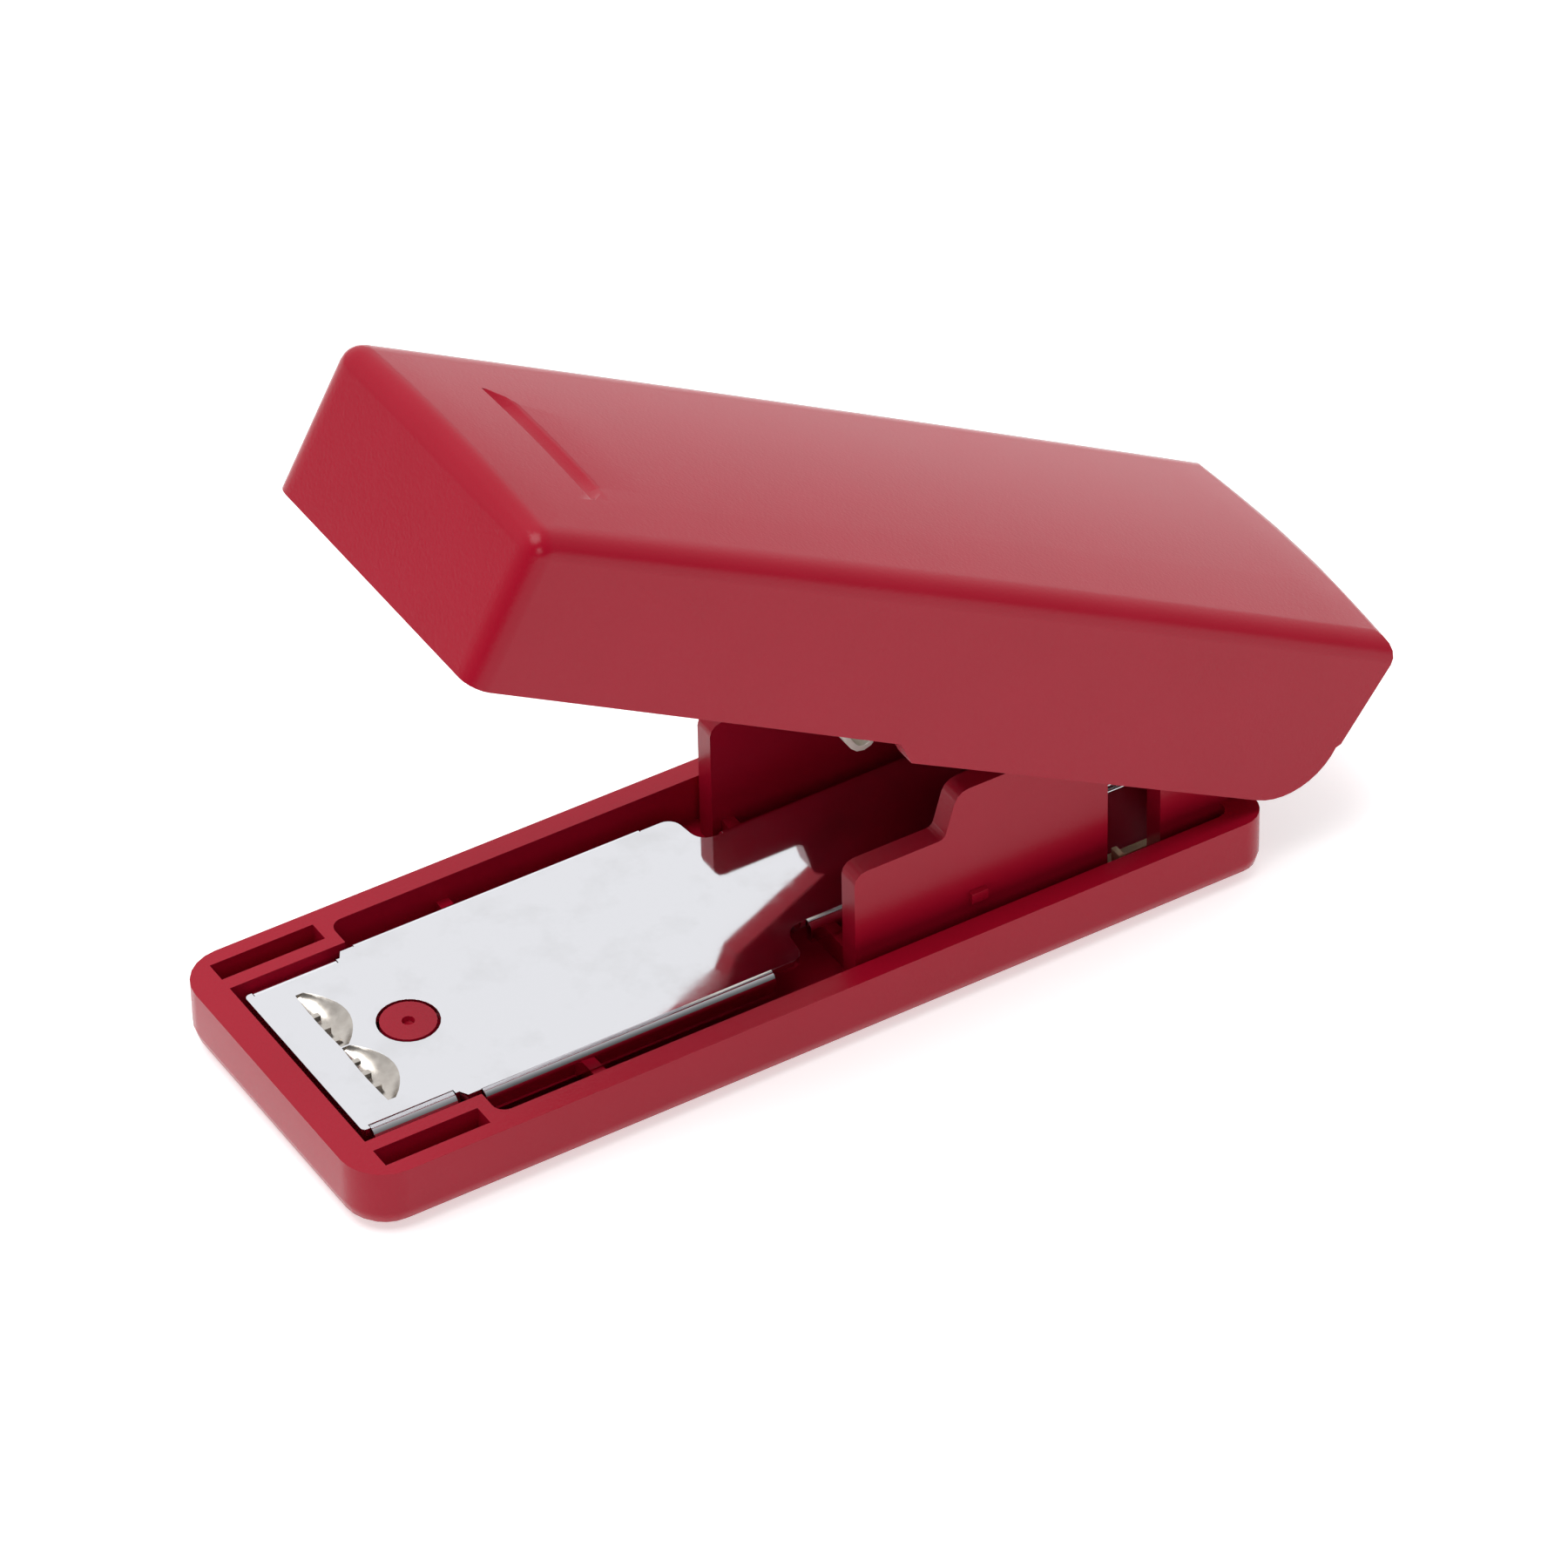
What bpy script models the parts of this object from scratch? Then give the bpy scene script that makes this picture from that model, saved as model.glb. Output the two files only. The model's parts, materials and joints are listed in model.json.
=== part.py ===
"""Pocket stapler for No. 10 staples: a plastic base, a steel magazine and a plastic cover that swing on
one cross pin. Lengths below are in millimetres and become metres when a mesh is made.

World frame: X runs along the length with the stapling end towards -X, Z is up, and the origin is the
centre of the base's underside. The magazine and the cover are drawn level, with the pin as their origin,
and their pivots lift them to the rest angle.
"""

import math

import bmesh
import bpy
from mathutils import Matrix, Vector

MM = 0.001

# Fits
GAP = 0.3  # between pieces that touch
SIDE_PLAY = 0.2  # between pieces that slide past each other
RUNNING = 0.05  # radial clearance of a shaft in its hole
ARC_STEPS = 6  # flats on a rounded corner
ROUND_STEPS = 28  # flats round a hole or a shaft

# Base tray
BASE_LENGTH = 60.0
BASE_WIDTH = 22.2
BASE_HEIGHT = 4.4
BASE_CORNER = 2.8
BASE_REAR_CORNER = 1.7
BASE_UNDER_RADIUS = 1.5
RIM_SIDE = 1.4
RIM_END = 1.9
FLOOR = 1.2
RIB = 0.8
EAR_THICKNESS = 1.4
EAR_FRONT_FROM_PIN = 26.1
EAR_REAR_FROM_PIN = 9.1
EAR_LOW_TOP = 10.0
EAR_HIGH_TOP = 13.0
EAR_STEP_FROM_FRONT = 6.0
CHEEK_FRONT_FROM_PIN = 5.5
CHEEK_LUG_RADIUS = 2.2
STUD_RADIUS = 1.65

# Hinge pin
PIN_RADIUS = 1.0
PIN_FROM_REAR = 0.5
PIN_ABOVE_RIM = 4.9
PIN_HEAD_RADIUS = 1.5
PIN_HEAD = 0.35

# Anvil plate
PLATE = 0.5
PLATE_BELOW_RIM = 0.1
PLATE_FRONT_MARGIN = 0.4
PLATE_NOSE_HALF = 6.8
PLATE_HALF = 7.3
PLATE_TAIL_HALF = 4.6
PLATE_NOSE_LENGTH = 6.2
PLATE_WIDE_END_TO_EAR = 3.2
PLATE_TAIL_END_FROM_PIN = 10.0
PLATE_FLANGE_DROP = 0.9
PLATE_NOSE_BEND = 0.8
PLATE_BEND = 0.55
PLATE_BEND_REACH = 0.5
POCKET_FROM_FRONT = 5.65
POCKET_HALF_LENGTH = 5.3
POCKET_WIDTH = 1.95
POCKET_WAIST = 0.5
POCKET_DEPTH = 0.7
POCKET_RIDGES = (1.1, 2.3, 3.5)
STUD_FROM_FRONT = 9.1

# Rest pose: the nose is up, and the cover lies on the magazine
COVER_TILT = math.radians(29.4)
COVER_CLOSED_TILT = math.radians(-2.7)
MAGAZINE_TILT = COVER_TILT - COVER_CLOSED_TILT

# Magazine, drawn level
SHEET = 0.6
CHANNEL_HALF = 5.3
CHANNEL_OVER_PLATE = 0.25  # with the stapler closed
CHANNEL_TOP = 1.3  # wall top above the pin
CHANNEL_LUG_RADIUS = 2.3
SLOT_HALF = 0.6
NOSE_SHEET = 0.45
CHANNEL_PAST_DRIVER = 1.45
STAPLE_WIRE = 0.5
STAPLE_TOP = 0.85
STRIP_LENGTH = 15.0
RAIL_SHEET = 0.45
RAIL_PLAY = 0.2  # between the rail and a staple's legs
RAIL_TOP = -0.6
ROD_RADIUS = 0.6
ROD_HEAD_RADIUS = 1.2
PUSHER_LENGTH = 5.5
BLOCK_LENGTH = 3.0
BLOCK_REAR_FROM_PIN = 4.0
PUSHER_SPRING_RADIUS = 1.1
PUSHER_SPRING_WIRE = 0.36
PUSHER_SPRING_TURNS = 15
SPRING_OVER_RAIL = 0.32
RAIL_LIFT = 0.1
LEAF = 0.4
LEAF_HALF = 2.5
LEAF_ROOT_FROM_PIN = 30.0
LEAF_TIP_FROM_PIN = 20.8
LEAF_TIP_DROP = 8.35
RIVET_RADIUS = 0.5

# Cover, drawn level: lengths run forward from its rear top edge
COVER_OVER_NOSE = 0.53  # between the magazine's nose and the cover's front wall
COVER_FRONT_INSET = 0.27  # in from the base's side
COVER_REAR_INSET = 0.5
COVER_WALL = 1.4
COVER_FRONT_WALL = 1.2
COVER_FRONT_DEPTH = 9.53
COVER_DEPTH_AT_STEP = 9.95
COVER_HEEL_CLEAR = 1.4  # heel above the base's rim, with the cover level
COVER_STEP = 32.0
COVER_STEP_RUN = 1.4
COVER_HEEL_RADIUS = 4.0
COVER_REAR_WALL_DEPTH = 6.8
COVER_BEHIND_PIN = 6.97
COVER_ABOVE_PIN = 7.55
COVER_EDGE_RADIUS = 1.3
COVER_REAR_BOW = 0.45
GROOVE_FROM_FRONT = 7.4
GROOVE_HALF_LENGTH = 5.9
GROOVE_WIDTH = 1.6
GROOVE_DEPTH = 0.4
GROOVE_TAPER = 1.6

# Steel frame and driver under the cover
FRAME_SHEET = 0.8
FRAME_SIDE = 0.5
FRAME_LUG_RADIUS = 2.1
FRAME_SKIRT = 2.1
BLADE = 0.5
BLADE_SIDE_PLAY = 0.4
BLADE_FOOT = 6.3
RIVET_FROM_DRIVER = 3.6
RIVET_SPREAD = 2.3

# Return spring and its anchor
RETURN_WIRE = 0.32
RETURN_COIL_RADIUS = 1.75
RETURN_TURNS = 2
HAIRPIN_PITCH = 0.5
ANCHOR_SHEET = 0.4
ANCHOR_WIDTH = 0.6
ANCHOR_TIP = 0.9

PIN_X = BASE_LENGTH / 2 - PIN_FROM_REAR
FRONT = -BASE_LENGTH / 2
PIN_HEIGHT = BASE_HEIGHT + PIN_ABOVE_RIM
PLATE_TOP = BASE_HEIGHT - PLATE_BELOW_RIM
PLATE_WIDE_END = PIN_X - EAR_FRONT_FROM_PIN - PLATE_WIDE_END_TO_EAR
CHANNEL_UNDER = PIN_ABOVE_RIM + PLATE_BELOW_RIM - CHANNEL_OVER_PLATE
DRIVER_FROM_PIN = PIN_X - (FRONT + POCKET_FROM_FRONT)
RIVET_X = RIVET_FROM_DRIVER - DRIVER_FROM_PIN
HOLLOW_HALF = BASE_WIDTH / 2 - RIM_SIDE
EAR_OUTER = HOLLOW_HALF - 1.1
EAR_INNER = EAR_OUTER - EAR_THICKNESS
FRAME_INNER = CHANNEL_HALF + GAP
FRAME_OUTER = FRAME_INNER + FRAME_SIDE
CHANNEL_INNER = CHANNEL_HALF - SHEET
CHANNEL_FLOOR = -CHANNEL_UNDER + SHEET
RAIL_UNDER = CHANNEL_FLOOR + RAIL_LIFT
ROD_LEVEL = RAIL_UNDER + RAIL_SHEET + SPRING_OVER_RAIL + PUSHER_SPRING_RADIUS + PUSHER_SPRING_WIRE / 2
STAPLE_HALF = CHANNEL_INNER - GAP
RAIL_HALF = STAPLE_HALF - STAPLE_WIRE - RAIL_PLAY
BLADE_HALF = CHANNEL_INNER - BLADE_SIDE_PLAY
CHANNEL_FRONT = -(DRIVER_FROM_PIN + CHANNEL_PAST_DRIVER)
NOSE_FRONT = CHANNEL_FRONT - SIDE_PLAY - NOSE_SHEET
STRIP_FRONT = -(DRIVER_FROM_PIN - BLADE / 2 - GAP)
PUSHER_FRONT = STRIP_FRONT + STRIP_LENGTH + GAP
BLOCK_REAR = -BLOCK_REAR_FROM_PIN
COVER_LENGTH = COVER_BEHIND_PIN - NOSE_FRONT + COVER_OVER_NOSE + COVER_FRONT_WALL
COVER_REAR_DEPTH = COVER_ABOVE_PIN + PIN_ABOVE_RIM - COVER_HEEL_CLEAR
COVER_FRONT_HALF = BASE_WIDTH / 2 - COVER_FRONT_INSET
COVER_REAR_HALF = BASE_WIDTH / 2 - COVER_REAR_INSET
FRAME_TOP = COVER_ABOVE_PIN - COVER_WALL - GAP
FRAME_UNDER = FRAME_TOP - FRAME_SHEET


# ---------------------------------------------------------------- shapes


def arc(centre, radius, start, end, steps):
    """Points round a centre, from one angle to another in degrees."""
    angles = [math.radians(start + (end - start) * i / steps) for i in range(steps + 1)]
    return [(centre[0] + radius * math.cos(a), centre[1] + radius * math.sin(a)) for a in angles]


def rounded(corners, steps=ARC_STEPS):
    """An outline from (a, b, radius) corners, each turned into an arc."""
    points = []
    for i, (a, b, radius) in enumerate(corners):
        here = Vector((a, b))
        if radius == 0:
            points.append((a, b))
            continue
        back = (Vector(corners[i - 1][:2]) - here).normalized()
        ahead = (Vector(corners[(i + 1) % len(corners)][:2]) - here).normalized()
        half = back.angle(ahead) / 2
        first = here + back * (radius / math.tan(half))
        last = here + ahead * (radius / math.tan(half))
        centre = here + (back + ahead).normalized() * (radius / math.sin(half))
        for k in range(steps + 1):
            spoke = (first - centre).slerp(last - centre, k / steps)
            points.append(tuple(centre + spoke * radius))
    return points


def box_outline(low_a, low_b, high_a, high_b, radius=0.0):
    corners = [(low_a, low_b), (high_a, low_b), (high_a, high_b), (low_a, high_b)]
    return rounded([(a, b, radius) for a, b in corners])


def circle(centre, radius, steps=ROUND_STEPS):
    return arc(centre, radius, 0, 360, steps)[:-1]


def prism(bm, outline, low, high, along):
    """A straight solid: the outline lies across the named axis and runs from low to high on it."""
    place = {
        "X": lambda a, b, c: (c, a, b),
        "Y": lambda a, b, c: (a, c, b),
        "Z": lambda a, b, c: (a, b, c),
    }[along]
    ends = [[bm.verts.new(Vector(place(a, b, c)) * MM) for a, b in outline] for c in (low, high)]
    faces = [bm.faces.new(ends[0]), bm.faces.new(ends[1])]
    for i in range(len(outline)):
        j = (i + 1) % len(outline)
        faces.append(bm.faces.new((ends[0][i], ends[0][j], ends[1][j], ends[1][i])))
    bmesh.ops.recalc_face_normals(bm, faces=faces)
    return faces


def block(bm, low, high):
    """A box between two corners."""
    prism(bm, box_outline(low[0], low[1], high[0], high[1]), low[2], high[2], "Z")


def both_sides(bm, outline, inner, outer):
    """The same X-Z outline on the left and the right, between two distances from the middle."""
    prism(bm, outline, inner, outer, "Y")
    prism(bm, outline, -outer, -inner, "Y")


def turned(bm, profile, centre, along, steps=ROUND_STEPS):
    """A lathe shape: (distance along the axis, radius) pairs turned about an axis through the centre."""
    place = {
        "X": lambda d, a, b: (centre[0] + d, centre[1] + a, centre[2] + b),
        "Y": lambda d, a, b: (centre[0] + a, centre[1] + d, centre[2] + b),
        "Z": lambda d, a, b: (centre[0] + a, centre[1] + b, centre[2] + d),
    }[along]
    rings = []
    for distance, radius in profile:
        ring = [bm.verts.new(Vector(place(distance, a, b)) * MM) for a, b in circle((0, 0), radius, steps)]
        rings.append(ring)
    faces = [bm.faces.new(rings[0]), bm.faces.new(rings[-1])]
    for below, above in zip(rings, rings[1:]):
        for i in range(steps):
            j = (i + 1) % steps
            faces.append(bm.faces.new((below[i], below[j], above[j], above[i])))
    bmesh.ops.recalc_face_normals(bm, faces=faces)


def scoop(bm, level, stations):
    """A cutter for a hollow in a flat top, lofted along Y. Each station is (y, front x, rear x, depth).

    The front wall is steep, and the floor curves up to the rear edge.
    """
    rings = []
    for y, front, rear, depth in stations:
        run = rear - front
        section = [(front, level + 1), (front, level), (front + 0.08 * run, level - 0.75 * depth)]
        for i in range(7):
            t = i / 6
            section.append((front + run * (0.2 + 0.8 * t), level - depth * math.cos(t * math.pi / 2)))
        section.append((rear, level + 1))
        rings.append([bm.verts.new(Vector((x, y, z)) * MM) for x, z in section])
    faces = [bm.faces.new(rings[0]), bm.faces.new(rings[-1])]
    for one, other in zip(rings, rings[1:]):
        for i in range(len(one)):
            j = (i + 1) % len(one)
            faces.append(bm.faces.new((one[i], one[j], other[j], other[i])))
    bmesh.ops.recalc_face_normals(bm, faces=faces)


def ribbon(centreline, thickness):
    """The outline of a strip of sheet that follows a line in X and Z."""
    line = [Vector(point) for point in centreline]
    upper, lower = [], []
    for i, point in enumerate(line):
        run = line[min(i + 1, len(line) - 1)] - line[max(i - 1, 0)]
        side = Vector((-run.y, run.x)).normalized() * (thickness / 2)
        upper.append(tuple(point + side))
        lower.append(tuple(point - side))
    return upper + lower[::-1]


# ---------------------------------------------------------------- objects


def material(name, colour, roughness, metallic=0.0):
    made = bpy.data.materials.new(name)
    made.use_nodes = True
    shader = made.node_tree.nodes["Principled BSDF"]
    shader.inputs["Base Color"].default_value = (*colour, 1.0)
    shader.inputs["Roughness"].default_value = roughness
    shader.inputs["Metallic"].default_value = metallic
    made.diffuse_color = (*colour, 1.0)
    return made


def mesh_object(name, bm, parent=None):
    mesh = bpy.data.meshes.new(name)
    bm.to_mesh(mesh)
    bm.free()
    made = bpy.data.objects.new(name, mesh)
    bpy.context.scene.collection.objects.link(made)
    made.parent = parent
    return made


def piece(name, bm, look, parent=None, origin=(0.0, 0.0, 0.0)):
    """A finished sub-part. Its origin is moved to the given point, with the shape left in place."""
    made = mesh_object(name, bm, parent)
    made.data.materials.append(look)
    made.data.transform(Matrix.Translation(-Vector(origin) * MM))
    made.location = Vector(origin) * MM
    made.data.shade_smooth()
    made.data.set_sharp_from_angle(angle=math.radians(35))
    return made


def combine(target, bm, operation):
    """Adds a shape to a piece, or cuts it away, with a hidden helper object."""
    helper = mesh_object(f"{target.name}.helper", bm, target.parent)
    helper.hide_render = True
    helper.display_type = "WIRE"
    modifier = target.modifiers.new(operation.title(), "BOOLEAN")
    modifier.operation = operation
    modifier.solver = "EXACT"
    modifier.object = helper


def add(target, bm):
    combine(target, bm, "UNION")


def cut(target, bm):
    combine(target, bm, "DIFFERENCE")


def pivot(name, tilt):
    """An empty on the hinge pin, turned nose up by the tilt."""
    made = bpy.data.objects.new(name, None)
    bpy.context.scene.collection.objects.link(made)
    made.location = Vector((PIN_X, 0, PIN_HEIGHT)) * MM
    made.rotation_euler = (0, tilt, 0)
    return made


def wire(name, points, diameter, look, parent=None):
    """Round wire along a list of points, with closed ends."""
    curve = bpy.data.curves.new(name, "CURVE")
    curve.dimensions = "3D"
    curve.bevel_depth = diameter / 2 * MM
    curve.bevel_resolution = 1
    curve.use_fill_caps = True
    spline = curve.splines.new("POLY")
    spline.points.add(len(points) - 1)
    for target, point in zip(spline.points, points):
        target.co = (*(Vector(point) * MM), 1.0)
    curve.materials.append(look)
    made = bpy.data.objects.new(name, curve)
    bpy.context.scene.collection.objects.link(made)
    made.parent = parent
    return made


# ---------------------------------------------------------------- base


def base_tray(look):
    bm = bmesh.new()
    half = BASE_WIDTH / 2
    front_corner, rear_corner = BASE_CORNER, BASE_REAR_CORNER
    outline = [(FRONT, -half, front_corner), (-FRONT, -half, rear_corner)]
    outline += [(-FRONT, half, rear_corner), (FRONT, half, front_corner)]
    prism(bm, rounded(outline), 0, BASE_HEIGHT, "Z")
    under = [e for e in bm.edges if all(v.co.z < 1e-6 for v in e.verts)]
    bmesh.ops.bevel(bm, geom=under, offset=BASE_UNDER_RADIUS * MM, segments=3, profile=0.5, affect="EDGES")
    tray = piece("base_tray", bm, look)

    hollow = bmesh.new()
    cross_wall_rear = FRONT + 9.4
    hollow_outline = box_outline(cross_wall_rear, -HOLLOW_HALF, -FRONT - RIM_END, HOLLOW_HALF, 0.8)
    prism(hollow, hollow_outline, FLOOR, BASE_HEIGHT + 1, "Z")
    cut(tray, hollow)

    nose = bmesh.new()
    recess_half = PLATE_HALF + 0.45
    block(nose, (FRONT + RIM_END, -recess_half, FLOOR), (cross_wall_rear + RIB, recess_half, BASE_HEIGHT + 1))
    slot_inner = recess_half + 0.9
    slot_outer = BASE_WIDTH / 2 - 1.0
    for side in (-1, 1):
        low, high = sorted((side * slot_inner, side * slot_outer))
        block(nose, (FRONT + RIM_END, low, FLOOR), (cross_wall_rear - RIB, high, BASE_HEIGHT + 1))
    cut(tray, nose)

    uprights = bmesh.new()
    sole = FLOOR - 0.4
    ear_front, ear_rear = PIN_X - EAR_FRONT_FROM_PIN, PIN_X - EAR_REAR_FROM_PIN
    step = ear_front + EAR_STEP_FROM_FRONT
    ear = rounded(
        [
            (ear_front, sole, 0),
            (ear_rear, sole, 0),
            (ear_rear, EAR_HIGH_TOP, 0.4),
            (step + 0.9, EAR_HIGH_TOP, 1.0),
            (step, EAR_LOW_TOP, 0.5),
            (ear_front, EAR_LOW_TOP, 0.8),
        ],
        3,
    )
    both_sides(uprights, ear, EAR_INNER, EAR_OUTER)
    cheek_front = PIN_X - CHEEK_FRONT_FROM_PIN
    lug = arc((PIN_X, PIN_HEIGHT), CHEEK_LUG_RADIUS, -35, 90, 7)
    cheek = [(cheek_front, sole), (PIN_X + 0.4, sole), (PIN_X + 0.4, BASE_HEIGHT)] + lug
    cheek += [(cheek_front + 0.6, PIN_HEIGHT + CHEEK_LUG_RADIUS), (cheek_front, PIN_HEIGHT + CHEEK_LUG_RADIUS - 0.6)]
    both_sides(uprights, cheek, EAR_INNER, EAR_OUTER)
    under_plate = PLATE_TOP - PLATE - GAP
    for x in (FRONT + 2.5, FRONT + 8.1):
        block(uprights, (x, -recess_half + 1.6, sole), (x + RIB, recess_half - 1.6, under_plate))
    turned(uprights, [(sole, 2.4), (under_plate, 2.4)], (FRONT + STUD_FROM_FRONT + 2.6, 0, 0), "Z", 16)
    add(tray, uprights)

    ribs = bmesh.new()
    for x in (FRONT + 16.4, ear_front + 0.6):
        block(ribs, (x, -HOLLOW_HALF - 0.4, sole), (x + RIB, HOLLOW_HALF + 0.4, BASE_HEIGHT - 1.6))
    add(tray, ribs)

    pads = bmesh.new()
    for x in (FRONT + 16.4, ear_front + 0.6):
        reach = (PLATE_TAIL_HALF if x > PLATE_WIDE_END else PLATE_HALF) - 1.0
        block(pads, (x, -reach, sole), (x + RIB, reach, under_plate))
    turned(pads, [(sole, STUD_RADIUS), (PLATE_TOP, STUD_RADIUS)], (FRONT + STUD_FROM_FRONT, 0, 0), "Z")
    for side in (-1, 1):
        low, high = sorted((side * (EAR_OUTER - 0.3), side * (EAR_OUTER + 0.35)))
        block(pads, (step + 1.6, low, 4.7), (step + 2.7, high, 5.4))
    add(tray, pads)

    bores = bmesh.new()
    reach = BASE_WIDTH
    turned(bores, [(-reach, PIN_RADIUS + RUNNING), (reach, PIN_RADIUS + RUNNING)], (PIN_X, 0, PIN_HEIGHT), "Y")
    turned(bores, [(PLATE_TOP - 0.35, 0.35), (PLATE_TOP + 1, 0.5)], (FRONT + STUD_FROM_FRONT, 0, 0), "Z", 12)
    cut(tray, bores)


def plate_folds():
    """The side flanges of the anvil plate: (front, rear, half width of the flat, outer bend radius)."""
    nose_front = FRONT + RIM_END + PLATE_FRONT_MARGIN
    nose_rear = nose_front + PLATE_NOSE_LENGTH
    wide_rear = PLATE_WIDE_END
    tail_rear = PIN_X - PLATE_TAIL_END_FROM_PIN
    return [
        (nose_front + 0.55, nose_rear - 0.3, PLATE_NOSE_HALF, PLATE_NOSE_BEND),
        (nose_rear + 1.2, wide_rear - 1.6, PLATE_HALF, PLATE_BEND),
        (wide_rear + 2.4, tail_rear - 1.0, PLATE_TAIL_HALF, PLATE_BEND),
    ]


def plate_outline():
    nose_front = FRONT + RIM_END + PLATE_FRONT_MARGIN
    nose_rear = nose_front + PLATE_NOSE_LENGTH
    wide_rear = PLATE_WIDE_END
    tail_rear = PIN_X - PLATE_TAIL_END_FROM_PIN
    nose, wide, tail = plate_folds()
    notch = 0.06

    def fold_notch(fold):
        start, end, half, bend = fold
        flat = half + PLATE_BEND_REACH - bend
        return [(start - notch, half, 0), (start - notch, flat, 0), (end + notch, flat, 0), (end + notch, half, 0)]

    half = [(nose_front, PLATE_NOSE_HALF, 0.3)]
    half += fold_notch(nose)
    half += [(nose_rear, PLATE_NOSE_HALF, 0), (nose_rear + 0.3, PLATE_HALF, 0)]
    half += fold_notch(wide)
    half += [(wide_rear + 0.6, PLATE_HALF, 0.9), (wide_rear + 0.9, PLATE_TAIL_HALF, 1.1)]
    half += fold_notch(tail)
    half.append((tail_rear, PLATE_TAIL_HALF, 0.6))
    mirrored = [(x, -y, radius) for x, y, radius in reversed(half)]
    return rounded(half + mirrored)


def anvil_plate(look):
    pocket_x = FRONT + POCKET_FROM_FRONT
    bm = bmesh.new()
    prism(bm, plate_outline(), PLATE_TOP - PLATE, PLATE_TOP, "Z")
    plate = piece("anvil_plate", bm, look)

    folds = bmesh.new()
    bottom, overlap = PLATE_TOP - PLATE - PLATE_FLANGE_DROP, PLATE_TOP - PLATE / 2
    for start, end, half, bend in plate_folds():
        outer = half + PLATE_BEND_REACH
        centre = (outer - bend, PLATE_TOP - bend)
        inner_bend = max(bend - PLATE, 0.05)
        section = arc(centre, bend - 0.004, 90, 0, 6) + [(outer - 0.004, bottom), (outer - PLATE, bottom)]
        section += arc(centre, inner_bend, 0, 90, 4)
        section += [(centre[0] - 0.15, PLATE_TOP - PLATE + 0.02), (centre[0] - 0.15, PLATE_TOP - 0.004)]
        prism(folds, section, start, end, "X")
        prism(folds, [(-y, z) for y, z in section], start, end, "X")
    boss = POCKET_WIDTH / 2 + 0.5
    block(
        folds,
        (pocket_x - boss, -POCKET_HALF_LENGTH - 0.4, PLATE_TOP - POCKET_DEPTH - PLATE / 2),
        (pocket_x + boss, POCKET_HALF_LENGTH + 0.4, overlap),
    )
    add(plate, folds)

    pocket = bmesh.new()
    front = pocket_x - POCKET_WIDTH / 2
    for side in (-1, 1):
        stations = []
        for i in range(13):
            fullness = math.sin(math.pi * (i + 0.15) / 12.3)
            y = side * (0.05 + (POCKET_HALF_LENGTH - 0.05) * i / 12)
            rear = front + POCKET_WAIST + (POCKET_WIDTH - POCKET_WAIST) * fullness**0.8
            stations.append((y, front + 0.1 - 0.1 * fullness, rear, POCKET_DEPTH * (0.35 + 0.65 * fullness)))
        scoop(pocket, PLATE_TOP, stations)
    hole = STUD_RADIUS + SIDE_PLAY
    turned(pocket, [(0, hole), (PLATE_TOP + 1, hole)], (FRONT + STUD_FROM_FRONT, 0, 0), "Z")
    cut(plate, pocket)

    ridges = bmesh.new()
    for side in (-1, 1):
        for offset in POCKET_RIDGES:
            y = side * offset
            low = (front - 0.1, y - 0.17, PLATE_TOP - POCKET_DEPTH - 0.1)
            block(ridges, low, (front + 0.62, y + 0.17, PLATE_TOP - POCKET_DEPTH * 0.42))
    add(plate, ridges)


def hinge_pin(look):
    bm = bmesh.new()
    end = EAR_OUTER + 0.05
    profile = [
        (-end - PIN_HEAD, PIN_HEAD_RADIUS - 0.2),
        (-end - 0.1, PIN_HEAD_RADIUS),
        (-end, PIN_HEAD_RADIUS),
        (-end, PIN_RADIUS),
        (end + 0.2, PIN_RADIUS),
        (end + PIN_HEAD, PIN_RADIUS - 0.25),
    ]
    turned(bm, profile, (PIN_X, 0, PIN_HEIGHT), "Y")
    piece("hinge_pin", bm, look, origin=(PIN_X, 0, PIN_HEIGHT))


def from_pin(forward, up, tilt):
    """A point given along and above a tilted piece, from the pin, in world X and Z."""
    x = PIN_X - forward * math.cos(tilt) + up * math.sin(tilt)
    return x, PIN_HEIGHT + forward * math.sin(tilt) + up * math.cos(tilt)


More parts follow.
